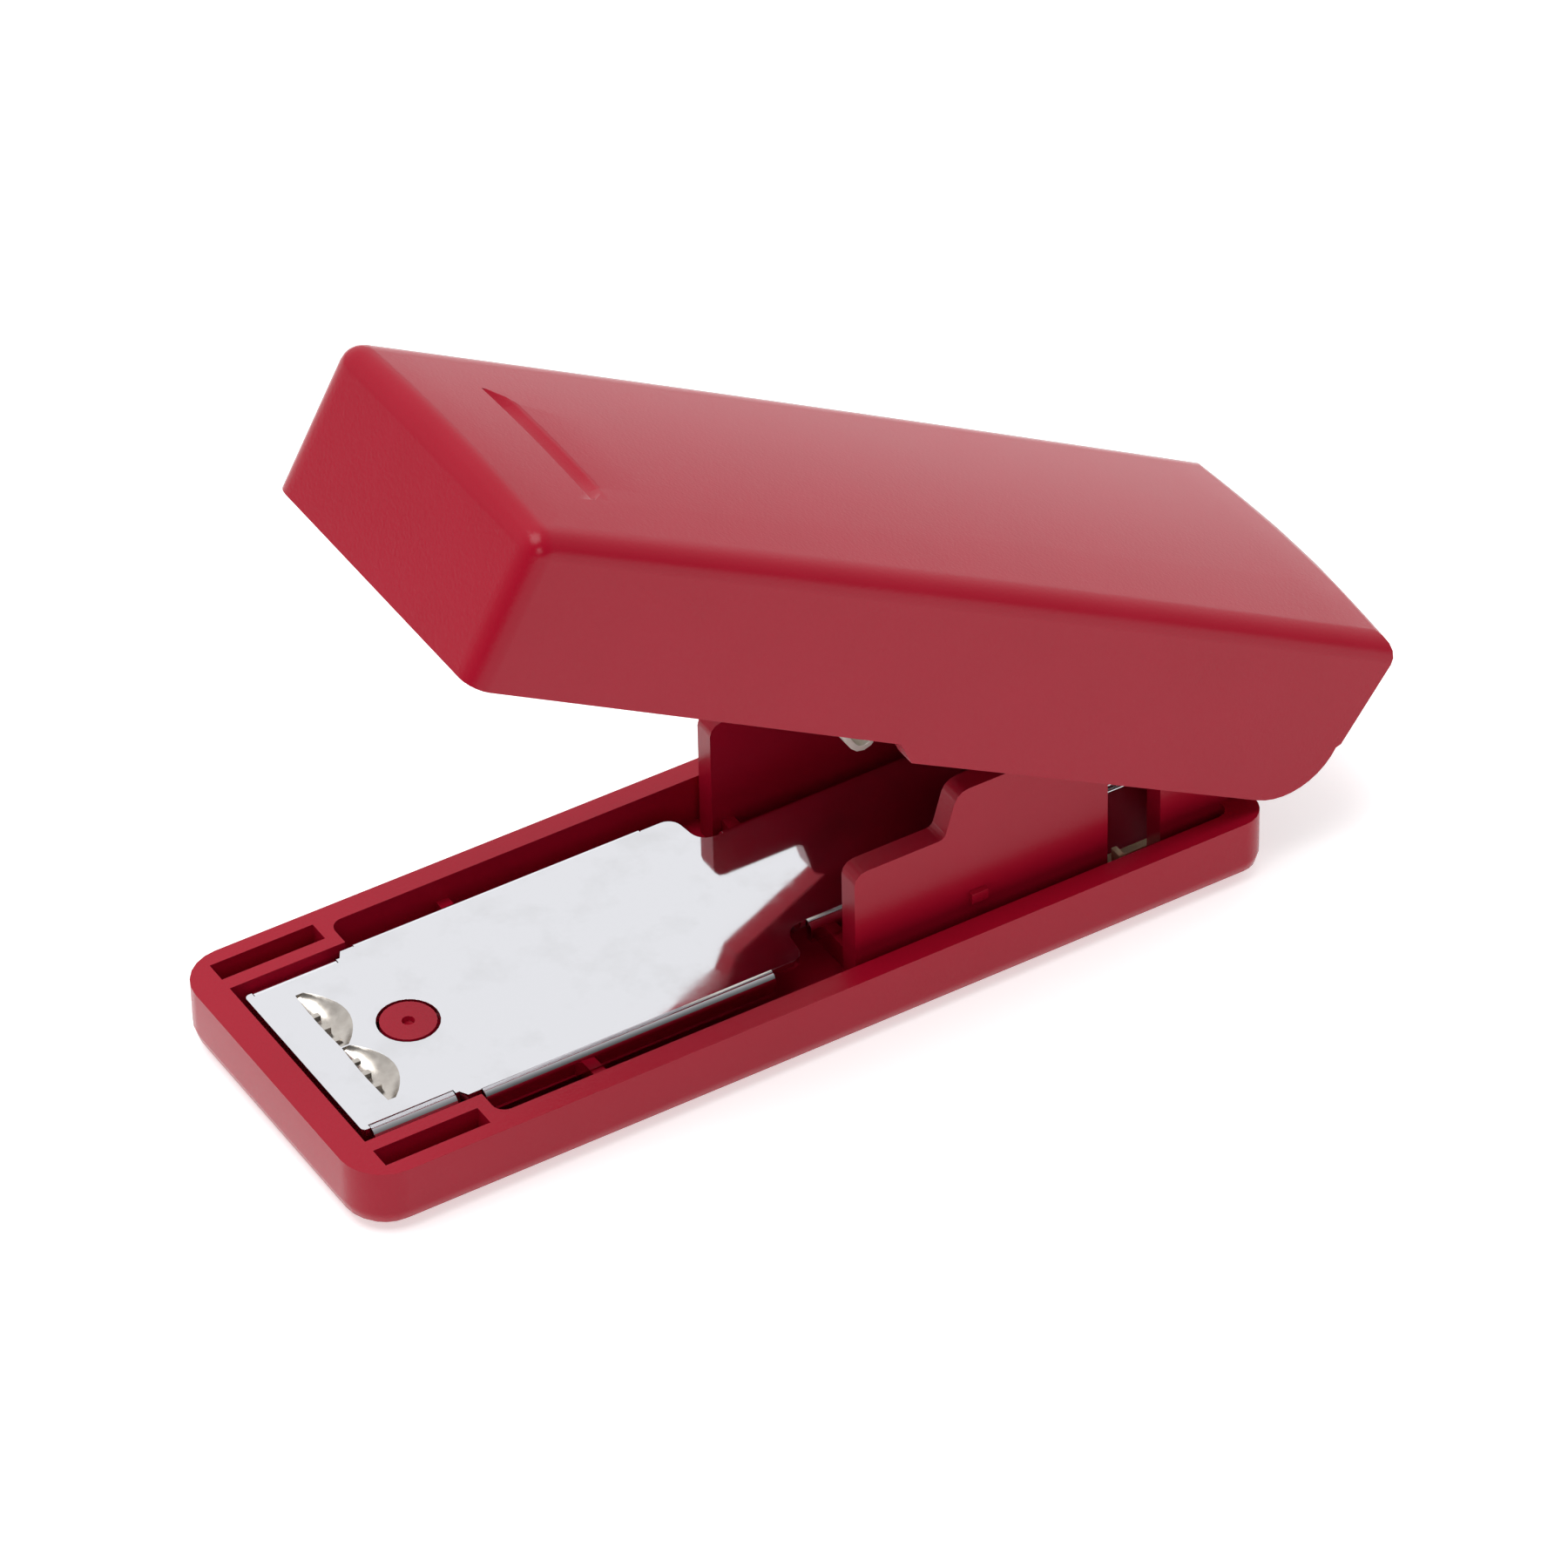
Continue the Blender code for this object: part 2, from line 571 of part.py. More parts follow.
def return_spring(look):
    """Foot on the anchor, hairpin behind the ear, coil on the pin, and upper leg under the magazine."""
    outer_y = -(EAR_INNER - RETURN_WIRE / 2 - 0.08)
    bend_x = PIN_X - EAR_REAR_FROM_PIN - 0.7
    foot_x = PIN_X - CHEEK_FRONT_FROM_PIN + 0.9
    upper_z = PIN_HEIGHT - RETURN_COIL_RADIUS
    lower_z = upper_z - HAIRPIN_PITCH
    points = [
        (foot_x + 0.1, outer_y + 0.1, FLOOR + GAP + ANCHOR_SHEET + RETURN_WIRE / 2 + 0.1),
        (foot_x, outer_y, lower_z - 0.7),
        (foot_x - 0.25, outer_y, lower_z - 0.1),
        (foot_x - 0.8, outer_y, lower_z),
    ]
    points += [(x, outer_y, z) for x, z in arc((bend_x, upper_z - HAIRPIN_PITCH / 2), HAIRPIN_PITCH / 2, 270, 90, 6)]
    start = -90.0
    sweep = RETURN_TURNS * 360 - 40
    count = int(RETURN_TURNS * 18)
    pitch = RETURN_WIRE * 1.1
    for i in range(count + 1):
        angle = math.radians(start + sweep * i / count)
        y = outer_y + pitch * (sweep / 360) * i / count
        x = PIN_X + RETURN_COIL_RADIUS * math.cos(angle)
        points.append((x, y, PIN_HEIGHT + RETURN_COIL_RADIUS * math.sin(angle)))
    inner_y = points[-1][1]
    for forward, up, y in (
        (4.5, -2.6, inner_y),
        (8.5, -CHANNEL_UNDER - 0.3, inner_y),
        (9.0, -CHANNEL_UNDER - 0.35, inner_y + 0.6),
        (9.1, -CHANNEL_UNDER - 0.35, -CHANNEL_HALF * 0.6),
    ):
        x, z = from_pin(forward, up, MAGAZINE_TILT)
        points.append((x, y, z))
    wire("return_spring", points, RETURN_WIRE, look)


def spring_anchor(look):
    """Brass strip on the tray's floor under the return spring's foot, with a tip bent up behind the near ear."""
    bm = bmesh.new()
    x = PIN_X - EAR_REAR_FROM_PIN + 0.5
    inner = -(EAR_INNER - 0.1)
    outer = -(EAR_OUTER + 0.45)
    bottom, top = FLOOR + GAP, FLOOR + GAP + ANCHOR_SHEET
    block(bm, (x, inner, bottom), (PIN_X - CHEEK_FRONT_FROM_PIN + 2.2, inner + ANCHOR_WIDTH, top))
    strip = piece("spring_anchor", bm, look)
    arm = bmesh.new()
    block(arm, (x, outer, bottom), (x + ANCHOR_TIP, inner + 0.3, top))
    add(strip, arm)
    tip = bmesh.new()
    low_tip, high_tip = outer, outer + ANCHOR_TIP
    prism(tip, box_outline(low_tip, bottom, high_tip, BASE_HEIGHT - 0.5, 0.0), x, x + ANCHOR_SHEET, "X")
    add(strip, tip)


# ---------------------------------------------------------------- magazine


def magazine_channel(look, parent):
    bm = bmesh.new()
    side = [(CHANNEL_FRONT, -CHANNEL_UNDER), (-4.6, -CHANNEL_UNDER)]
    side += arc((0, 0), CHANNEL_LUG_RADIUS, -130, 90, 10)
    side += [(-3.2, CHANNEL_LUG_RADIUS), (-4.4, CHANNEL_TOP), (CHANNEL_FRONT, CHANNEL_TOP)]
    prism(bm, side, -CHANNEL_HALF, CHANNEL_HALF, "Y")
    channel = piece("magazine_channel", bm, look, parent)

    inside = bmesh.new()
    reach = 5.0
    block(inside, (CHANNEL_FRONT - 1, -CHANNEL_INNER, CHANNEL_FLOOR), (reach, CHANNEL_INNER, reach))
    cut(channel, inside)

    windows = bmesh.new()
    block(
        windows,
        (-DRIVER_FROM_PIN - SLOT_HALF, -CHANNEL_INNER, -CHANNEL_UNDER - 1),
        (-DRIVER_FROM_PIN + SLOT_HALF, CHANNEL_INNER, CHANNEL_FLOOR + 1),
    )
    block(
        windows,
        (-LEAF_ROOT_FROM_PIN - 1.3, -LEAF_HALF - GAP, -CHANNEL_UNDER - 1),
        (-LEAF_TIP_FROM_PIN + 1.6, LEAF_HALF + GAP, CHANNEL_FLOOR + 1),
    )
    hole = PIN_RADIUS + RUNNING
    turned(windows, [(-CHANNEL_HALF - 1, hole), (CHANNEL_HALF + 1, hole)], (0, 0, 0), "Y")
    cut(channel, windows)


def nose_plate(look, parent):
    """Sheet across the mouth of the magazine, with two tabs folded back inside its walls."""
    front = NOSE_FRONT
    inner = CHANNEL_INNER - SIDE_PLAY
    plan = [
        (front, -CHANNEL_HALF),
        (front, CHANNEL_HALF),
        (front + NOSE_SHEET, CHANNEL_HALF),
        (front + NOSE_SHEET, inner),
        (-DRIVER_FROM_PIN - SLOT_HALF - 0.1, inner),
        (-DRIVER_FROM_PIN - SLOT_HALF - 0.1, inner - NOSE_SHEET),
        (front + NOSE_SHEET, inner - NOSE_SHEET),
        (front + NOSE_SHEET, -inner + NOSE_SHEET),
        (-DRIVER_FROM_PIN - SLOT_HALF - 0.1, -inner + NOSE_SHEET),
        (-DRIVER_FROM_PIN - SLOT_HALF - 0.1, -inner),
        (front + NOSE_SHEET, -inner),
        (front + NOSE_SHEET, -CHANNEL_HALF),
    ]
    bm = bmesh.new()
    prism(bm, plan, CHANNEL_FLOOR + 0.1, CHANNEL_TOP, "Z")
    piece("nose_plate", bm, look, parent)


def staple_rail(look, parent):
    """Inner channel that the staples straddle, with a front wall that steadies the guide rod."""
    front, rear = STRIP_FRONT + 0.3, BLOCK_REAR - BLOCK_LENGTH - GAP
    floor = RAIL_UNDER
    inner = RAIL_HALF - RAIL_SHEET
    bm = bmesh.new()
    block(bm, (front, -RAIL_HALF, floor), (rear, RAIL_HALF, RAIL_TOP))
    rail = piece("staple_rail", bm, look, parent)
    inside = bmesh.new()
    block(inside, (front + RAIL_SHEET, -inner, floor + RAIL_SHEET), (rear + 1, inner, RAIL_TOP + 1))
    cut(rail, inside)
    holes = bmesh.new()
    hole = ROD_RADIUS + RUNNING
    turned(holes, [(front - 1, hole), (front + 1, hole)], (0, 0, ROD_LEVEL), "X", 16)
    rivet_hole = RIVET_RADIUS + RUNNING
    turned(holes, [(floor - 1, rivet_hole), (floor + 1, rivet_hole)], (-LEAF_ROOT_FROM_PIN, 0, 0), "Z", 12)
    cut(rail, holes)


def guide_rod(look, parent):
    bm = bmesh.new()
    tip, rear = STRIP_FRONT + 0.2, BLOCK_REAR + GAP
    profile = [
        (tip, ROD_RADIUS - 0.2),
        (tip + 0.2, ROD_RADIUS),
        (rear, ROD_RADIUS),
        (rear, ROD_HEAD_RADIUS),
        (rear + 0.5, ROD_HEAD_RADIUS),
    ]
    turned(bm, profile, (0, 0, ROD_LEVEL), "X", 16)
    piece("guide_rod", bm, look, parent, origin=(0, 0, ROD_LEVEL))


def rod_block(look, parent):
    """Plastic block across the rear of the magazine that holds the guide rod."""
    bm = bmesh.new()
    half = CHANNEL_INNER - SIDE_PLAY
    front = BLOCK_REAR - BLOCK_LENGTH
    prism(bm, box_outline(-half, CHANNEL_FLOOR + GAP, half, CHANNEL_TOP - 0.2, 0.5), front, BLOCK_REAR, "X")
    made = piece("rod_block", bm, look, parent)
    hole = bmesh.new()
    radius = ROD_RADIUS + RUNNING
    turned(hole, [(front - 1, radius), (BLOCK_REAR + 1, radius)], (0, 0, ROD_LEVEL), "X", 16)
    cut(made, hole)


def saddle(leg_bottom):
    """The section of a staple in Y and Z: a crown with two legs."""
    outer, inner = STAPLE_HALF, STAPLE_HALF - STAPLE_WIRE
    under = STAPLE_TOP - STAPLE_WIRE
    right = [(outer, leg_bottom), (inner, leg_bottom), (inner, under)]
    left = [(-y, z) for y, z in reversed(right)]
    return [(-outer, STAPLE_TOP), (outer, STAPLE_TOP)] + right + left


def staple_strip(look, parent):
    bm = bmesh.new()
    prism(bm, saddle(CHANNEL_FLOOR + 0.15), STRIP_FRONT, STRIP_FRONT + STRIP_LENGTH, "X")
    piece("staple_strip", bm, look, parent)


def pusher(look, parent):
    """Follower: a saddle the shape of a staple, with a hub that runs on the guide rod."""
    bm = bmesh.new()
    rear = PUSHER_FRONT + PUSHER_LENGTH
    prism(bm, saddle(CHANNEL_FLOOR + 0.25), PUSHER_FRONT, rear, "X")
    made = piece("pusher", bm, look, parent, origin=(PUSHER_FRONT, 0, ROD_LEVEL))
    hub_half = RAIL_HALF - RAIL_SHEET - GAP
    hub = bmesh.new()
    block(
        hub,
        (PUSHER_FRONT, -hub_half, RAIL_UNDER + RAIL_SHEET + GAP),
        (rear, hub_half, STAPLE_TOP - STAPLE_WIRE / 2),
    )
    add(made, hub)
    hole = bmesh.new()
    radius = ROD_RADIUS + RUNNING
    turned(hole, [(PUSHER_FRONT - 1, radius), (rear + 1, radius)], (0, 0, ROD_LEVEL), "X", 16)
    cut(made, hole)


def pusher_spring(look, parent):
    start = PUSHER_FRONT + PUSHER_LENGTH + PUSHER_SPRING_WIRE
    end = BLOCK_REAR - BLOCK_LENGTH - PUSHER_SPRING_WIRE
    per_turn = 10
    count = PUSHER_SPRING_TURNS * per_turn
    points = []
    for i in range(count + 1):
        angle = 2 * math.pi * i / per_turn
        y = PUSHER_SPRING_RADIUS * math.cos(angle)
        points.append((start + (end - start) * i / count, y, ROD_LEVEL + PUSHER_SPRING_RADIUS * math.sin(angle)))
    wire("pusher_spring", points, PUSHER_SPRING_WIRE, look, parent)


def leaf_line():
    """Centre line of the leaf spring: flat root, long slope to the rear and a tip that curls up."""
    root_level = -CHANNEL_UNDER + 0.3
    curl = 0.75
    tip = (-LEAF_TIP_FROM_PIN, -LEAF_TIP_DROP + curl)
    line = [(-LEAF_ROOT_FROM_PIN - 1.0, root_level), (-LEAF_ROOT_FROM_PIN + 1.2, root_level)]
    slope = math.degrees(math.atan2(LEAF_TIP_DROP - CHANNEL_UNDER, LEAF_ROOT_FROM_PIN - LEAF_TIP_FROM_PIN))
    return line + arc(tip, curl, -90 - slope - 5, 130, 8)


def leaf_spring(look, parent):
    bm = bmesh.new()
    prism(bm, ribbon(leaf_line(), LEAF), -LEAF_HALF, LEAF_HALF, "Y")
    leaf = piece("leaf_spring", bm, look, parent)
    hole = bmesh.new()
    radius = RIVET_RADIUS + RUNNING
    profile = [(-CHANNEL_UNDER - 1, radius), (CHANNEL_FLOOR + 1, radius)]
    turned(hole, profile, (-LEAF_ROOT_FROM_PIN, 0, 0), "Z", 12)
    cut(leaf, hole)


def leaf_rivet(look, parent):
    bm = bmesh.new()
    root_under = -CHANNEL_UNDER + 0.3 - LEAF / 2
    rail_floor = RAIL_UNDER + RAIL_SHEET
    head = RIVET_RADIUS + 0.35
    profile = [
        (root_under - 0.17, head - 0.15),
        (root_under - 0.03, head),
        (root_under - 0.03, RIVET_RADIUS),
        (rail_floor + 0.03, RIVET_RADIUS),
        (rail_floor + 0.03, head),
        (rail_floor + 0.2, head - 0.15),
    ]
    turned(bm, profile, (-LEAF_ROOT_FROM_PIN, 0, 0), "Z", 12)
    piece("leaf_rivet", bm, look, parent)


# ---------------------------------------------------------------- cover


def cover_point(from_rear, below_top, radius=0.0):
    """A point of the cover's side view, measured forward from its rear and down from its top."""
    return (COVER_BEHIND_PIN - from_rear, COVER_ABOVE_PIN - below_top, radius)


def taper(bm):
    """Narrows the cover towards its rear."""
    for vert in bm.verts:
        from_rear = COVER_BEHIND_PIN - vert.co.x / MM
        share = from_rear / COVER_LENGTH
        vert.co.y *= (COVER_REAR_HALF + (COVER_FRONT_HALF - COVER_REAR_HALF) * share) / COVER_FRONT_HALF


def cover_side():
    heel = COVER_HEEL_RADIUS
    heel_start = 1.2
    side = [cover_point(COVER_LENGTH, 0), cover_point(0, 0), cover_point(0.95, COVER_REAR_WALL_DEPTH)]
    side.append(cover_point(heel_start, COVER_REAR_WALL_DEPTH + 0.25))
    points = rounded(side)
    centre = cover_point(heel_start + heel, COVER_REAR_DEPTH - heel)
    points += arc(centre[:2], heel, 0, -90, 10)
    points += rounded(
        [
            cover_point(COVER_STEP, COVER_REAR_DEPTH),
            cover_point(COVER_STEP + COVER_STEP_RUN, COVER_DEPTH_AT_STEP),
            cover_point(COVER_LENGTH, COVER_FRONT_DEPTH),
        ]
    )
    return points


def bow_rear(bm):
    """Bows the rear of the cover outwards in plan."""
    for vert in bm.verts:
        from_rear = COVER_BEHIND_PIN - vert.co.x / MM
        if from_rear < COVER_HEEL_RADIUS:
            across = vert.co.y / MM / COVER_REAR_HALF
            vert.co.x += COVER_REAR_BOW * (1 - across * across) * (1 - from_rear / COVER_HEEL_RADIUS) * MM


def is_rounded(edge):
    """True for the cover's top edges and for the upright edges of its front."""
    if len(edge.link_faces) != 2 or edge.calc_face_angle() < math.radians(30):
        return False
    low, high = sorted((v.co.z / MM for v in edge.verts))
    top = COVER_ABOVE_PIN - 0.001
    middle = sum(v.co.x / MM for v in edge.verts) / 2
    at_front = middle < COVER_BEHIND_PIN - COVER_LENGTH + 0.001
    return low > top or (high > top and at_front)


def cover_shell(look, parent):
    bm = bmesh.new()
    prism(bm, cover_side(), -COVER_FRONT_HALF, COVER_FRONT_HALF, "Y")
    slices = 10
    for i in range(1, slices):
        y = COVER_FRONT_HALF * (2 * i / slices - 1) * MM
        parts = bm.verts[:] + bm.edges[:] + bm.faces[:]
        bmesh.ops.bisect_plane(bm, geom=parts, plane_co=(0, y, 0), plane_no=(0, 1, 0))
    taper(bm)
    bow_rear(bm)
    edges = [edge for edge in bm.edges if is_rounded(edge)]
    radius = COVER_EDGE_RADIUS * MM
    bmesh.ops.bevel(bm, geom=edges, offset=radius, segments=5, profile=0.5, affect="EDGES")
    shell = piece("cover_shell", bm, look, parent)

    inner_half = COVER_FRONT_HALF - COVER_WALL
    inside = bmesh.new()
    front, top = cover_point(COVER_LENGTH - COVER_FRONT_WALL, COVER_WALL)[:2]
    rear, below = cover_point(COVER_WALL, COVER_REAR_DEPTH + 3)[:2]
    behind, lintel = cover_point(-2, COVER_REAR_WALL_DEPTH + 0.12)[:2]
    cavity = rounded(
        [
            (front, below, 0),
            (behind, below, 0),
            (behind, lintel, 0),
            (rear, lintel, 0),
            (rear, top, 0.5),
            (front, top, 0.5),
        ]
    )
    prism(inside, cavity, -inner_half, inner_half, "Y")
    taper(inside)
    cut(shell, inside)

    groove = bmesh.new()
    front = cover_point(COVER_LENGTH - GROOVE_FROM_FRONT, 0)[0] - GROOVE_WIDTH / 2
    stations = []
    for i in range(17):
        y = GROOVE_HALF_LENGTH * (i / 8 - 1)
        fade = min(1.0, (GROOVE_HALF_LENGTH - abs(y)) / GROOVE_TAPER + 0.02)
        fullness = math.sin(fade * math.pi / 2)
        rear = front + GROOVE_WIDTH * (0.15 + 0.85 * fullness)
        stations.append((y, front, rear, GROOVE_DEPTH * (0.1 + 0.9 * fullness)))
    scoop(groove, COVER_ABOVE_PIN, stations)
    cut(shell, groove)


def handle_frame(look, parent):
    """Steel frame inside the cover: a top plate with two skirts that reach down to the pin."""
    front = cover_point(COVER_LENGTH - COVER_FRONT_WALL - 0.5, 0)[0]
    bm = bmesh.new()
    skirt_end = FRAME_UNDER - FRAME_SKIRT
    side = [(front, FRAME_TOP), (front, skirt_end), (-9.0, skirt_end)]
    side += arc((0, 0), FRAME_LUG_RADIUS, -150, 30, 9)
    side += [(2.6, FRAME_TOP)]
    prism(bm, side, -FRAME_OUTER, FRAME_OUTER, "Y")
    frame = piece("handle_frame", bm, look, parent)
    inside = bmesh.new()
    block(inside, (front - 1, -FRAME_INNER, -5), (5, FRAME_INNER, FRAME_UNDER))
    cut(frame, inside)
    wings = bmesh.new()
    wing_half = COVER_REAR_HALF - COVER_WALL - GAP
    block(wings, (front + 2, -wing_half, FRAME_UNDER), (front + 22, wing_half, FRAME_TOP))
    add(frame, wings)
    holes = bmesh.new()
    bore = PIN_RADIUS + RUNNING
    turned(holes, [(-FRAME_OUTER - 1, bore), (FRAME_OUTER + 1, bore)], (0, 0, 0), "Y")
    for y in (-RIVET_SPREAD, RIVET_SPREAD):
        radius = RIVET_RADIUS + RUNNING
        turned(holes, [(FRAME_UNDER - 1, radius), (FRAME_TOP + 1, radius)], (RIVET_X, y, 0), "Z", 12)
    cut(frame, holes)


def driver_blade(look, parent):
    """Blade square to the magazine floor, with a foot folded back under the frame."""
    bm = bmesh.new()
    lean = -COVER_CLOSED_TILT
    foot_top = FRAME_UNDER - 0.05
    foot_under = foot_top - BLADE
    half = BLADE / 2
    lower = -CHANNEL_UNDER + 0.15
    turn = Matrix.Rotation(-lean, 2)
    tips = [turn @ Vector((-DRIVER_FROM_PIN + side * half, lower)) for side in (-1, 1)]
    rise = Vector((math.sin(lean), math.cos(lean)))
    tops = [tip + rise * ((level - tip.y) / rise.y) for tip, level in zip(tips, (foot_top, foot_under))]
    foot_end = tops[1].x + BLADE_FOOT
    side = [tips[0], tips[1], tops[1], (foot_end, foot_under), (foot_end, foot_top), tops[0]]
    prism(bm, [tuple(point) for point in side], -BLADE_HALF, BLADE_HALF, "Y")
    blade = piece("driver_blade", bm, look, parent)
    holes = bmesh.new()
    for y in (-RIVET_SPREAD, RIVET_SPREAD):
        radius = RIVET_RADIUS + RUNNING
        turned(holes, [(foot_under - 1, radius), (foot_top + 1, radius)], (RIVET_X, y, 0), "Z", 12)
    cut(blade, holes)


def driver_rivets(look, parent):
    under = FRAME_UNDER - 0.05 - BLADE
    head = RIVET_RADIUS + 0.4
    profile = [
        (under - 0.2, head - 0.15),
        (under - 0.03, head),
        (under - 0.03, RIVET_RADIUS),
        (FRAME_TOP + 0.03, RIVET_RADIUS),
        (FRAME_TOP + 0.03, head),
        (FRAME_TOP + 0.2, head - 0.15),
    ]
    for name, y in (("driver_rivet_left", -RIVET_SPREAD), ("driver_rivet_right", RIVET_SPREAD)):
        bm = bmesh.new()
        turned(bm, profile, (RIVET_X, y, 0), "Z", 12)
        piece(name, bm, look, parent)


def clear_scene():
    for obj in list(bpy.data.objects):
        bpy.data.objects.remove(obj, do_unlink=True)


def build():
    clear_scene()
    red = material("crimson plastic", (0.36, 0.018, 0.035), 0.38)
    dark = material("black plastic", (0.03, 0.03, 0.033), 0.5)
    chrome = material("chromed steel", (0.78, 0.78, 0.80), 0.08, 1.0)
    zinc = material("zinc plated steel", (0.62, 0.63, 0.65), 0.28, 1.0)
    spring = material("spring steel", (0.55, 0.55, 0.56), 0.25, 1.0)
    brass = material("brass", (0.72, 0.56, 0.26), 0.3, 1.0)

    base_tray(red)
    anvil_plate(chrome)
    hinge_pin(zinc)
    return_spring(spring)
    spring_anchor(brass)

    magazine = pivot("magazine_pivot", MAGAZINE_TILT)
    magazine_channel(zinc, magazine)
    nose_plate(zinc, magazine)
    staple_rail(zinc, magazine)
    guide_rod(spring, magazine)
    rod_block(dark, magazine)
    staple_strip(chrome, magazine)
    pusher(dark, magazine)
    pusher_spring(spring, magazine)
    leaf_spring(spring, magazine)
    leaf_rivet(zinc, magazine)

    cover = pivot("cover_pivot", COVER_TILT)
    cover_shell(red, cover)
    handle_frame(zinc, cover)
    driver_blade(spring, cover)
    driver_rivets(zinc, cover)


build()
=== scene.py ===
import json
import math

import bpy
from mathutils import Matrix, Vector


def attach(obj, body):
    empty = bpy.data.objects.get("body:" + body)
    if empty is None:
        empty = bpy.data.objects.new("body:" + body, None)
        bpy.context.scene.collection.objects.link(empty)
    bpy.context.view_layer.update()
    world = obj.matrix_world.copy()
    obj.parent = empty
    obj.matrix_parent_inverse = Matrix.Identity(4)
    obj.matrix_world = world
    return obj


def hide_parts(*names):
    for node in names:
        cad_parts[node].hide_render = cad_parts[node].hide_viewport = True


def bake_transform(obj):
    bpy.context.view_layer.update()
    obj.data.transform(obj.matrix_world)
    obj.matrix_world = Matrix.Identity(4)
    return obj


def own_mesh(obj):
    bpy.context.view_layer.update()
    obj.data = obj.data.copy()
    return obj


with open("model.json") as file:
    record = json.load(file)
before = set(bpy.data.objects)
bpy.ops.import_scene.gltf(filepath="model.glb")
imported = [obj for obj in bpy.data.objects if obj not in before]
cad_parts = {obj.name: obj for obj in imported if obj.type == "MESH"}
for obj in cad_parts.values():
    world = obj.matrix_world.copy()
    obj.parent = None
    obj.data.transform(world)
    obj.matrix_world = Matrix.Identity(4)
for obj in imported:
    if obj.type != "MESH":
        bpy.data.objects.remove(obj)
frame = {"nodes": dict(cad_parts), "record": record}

# Lengths are in millimetres unless a comment says otherwise, and MM turns them into metres.
MM = 0.001

# The hinge pin's axis, and how far the magazine and the cover lean back on it at rest.
PIN = Vector((29.5, 0.0, 9.3)) * MM
MAGAZINE_TILT = math.radians(32.1)
COVER_TILT = math.radians(29.4)

# Edge rounding and shading.
WELD_METRES = 1e-6
FLAT_ANGLE = math.radians(1.0)
EDGE_ANGLE = math.radians(32)
SMOOTH_ANGLE = math.radians(40)
WIRE_SMOOTH_ANGLE = math.radians(50)
LARGE_FACE_WEIGHT = 100

# The cover's top and the low crown on it.
COVER_LENGTH = 64.65
COVER_BEHIND_PIN = 6.97
COVER_TOP_OVER_PIN = 7.55
COVER_TOP_HALF = 10.6
CROWN_ACROSS = 0.35
CROWN_ALONG = 0.12
CROWN_SHOULDER = 1.3
CROWN_STRIPS_ACROSS = 14
CROWN_STRIPS_ALONG = 16

# The staple pocket in the plate.
PLATE_LEVEL = 4.3
POCKET_FRONT = -25.6
POCKET_REAR = -23.1
POCKET_HALF = 5.5
POCKET_DEEPEST = 0.9
POCKET_SHALLOWEST = 0.03

# The guide rod's height over the pin, measured square to the magazine.
ROD_OVER_PIN = -2.0

CAMERA_AZIMUTH = math.radians(-30.607)
CAMERA_ELEVATION = math.radians(39.450)
CAMERA_ROLL = math.radians(-1.288)
CAMERA_DISTANCE = 567.6
CAMERA_ACROSS = 3.25
CAMERA_OVER = 9.47
CAMERA_SENSOR = 36.0
CAMERA_LENS = 226.95
CAMERA_NEAREST_METRES = 0.01

# The sky's brightness: its slope with x and y, its middle, its least, and its share at the horizon.
SKY_SLOPE_X = 0.22
SKY_SLOPE_Y = 0.62
SKY_MIDDLE = 0.58
SKY_LEAST = 0.12
SKY_RISE = 4.0
SKY_AT_HORIZON = 0.35
SKY_GAIN_ABOVE = 0.65
SKY_COLOUR = (0.985, 0.99, 1.0, 1.0)

FLOOR_METRES = 6.0
PAPER_GLOW = 0.52

# Name, place in metres, side in metres and power in watts.
LAMPS = (
    ("key", (-0.40, -0.95, 0.60), 0.45, 2.2),
    ("top", (-0.2, 0.1, 1.2), 0.9, 11.0),
)

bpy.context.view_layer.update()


# ---------------------------------------------------------------- shader maths


def feed(tree, slot, value):
    """Links a signal to a node's input, or sets the input to a plain value."""
    if isinstance(value, Signal):
        tree.links.new(value.socket, slot)
    else:
        slot.default_value = value


class Signal:
    """A node's output that takes part in Python expressions on values."""

    def __init__(self, tree, socket):
        self.tree = tree
        self.socket = socket

    def join(self, operation, *values):
        node = self.tree.nodes.new("ShaderNodeMath")
        node.operation = operation
        for slot, value in zip(node.inputs, values):
            feed(self.tree, slot, value)
        return Signal(self.tree, node.outputs[0])

    def __add__(self, other):
        return self.join("ADD", self, other)

    def __radd__(self, other):
        return self.join("ADD", other, self)

    def __mul__(self, other):
        return self.join("MULTIPLY", self, other)


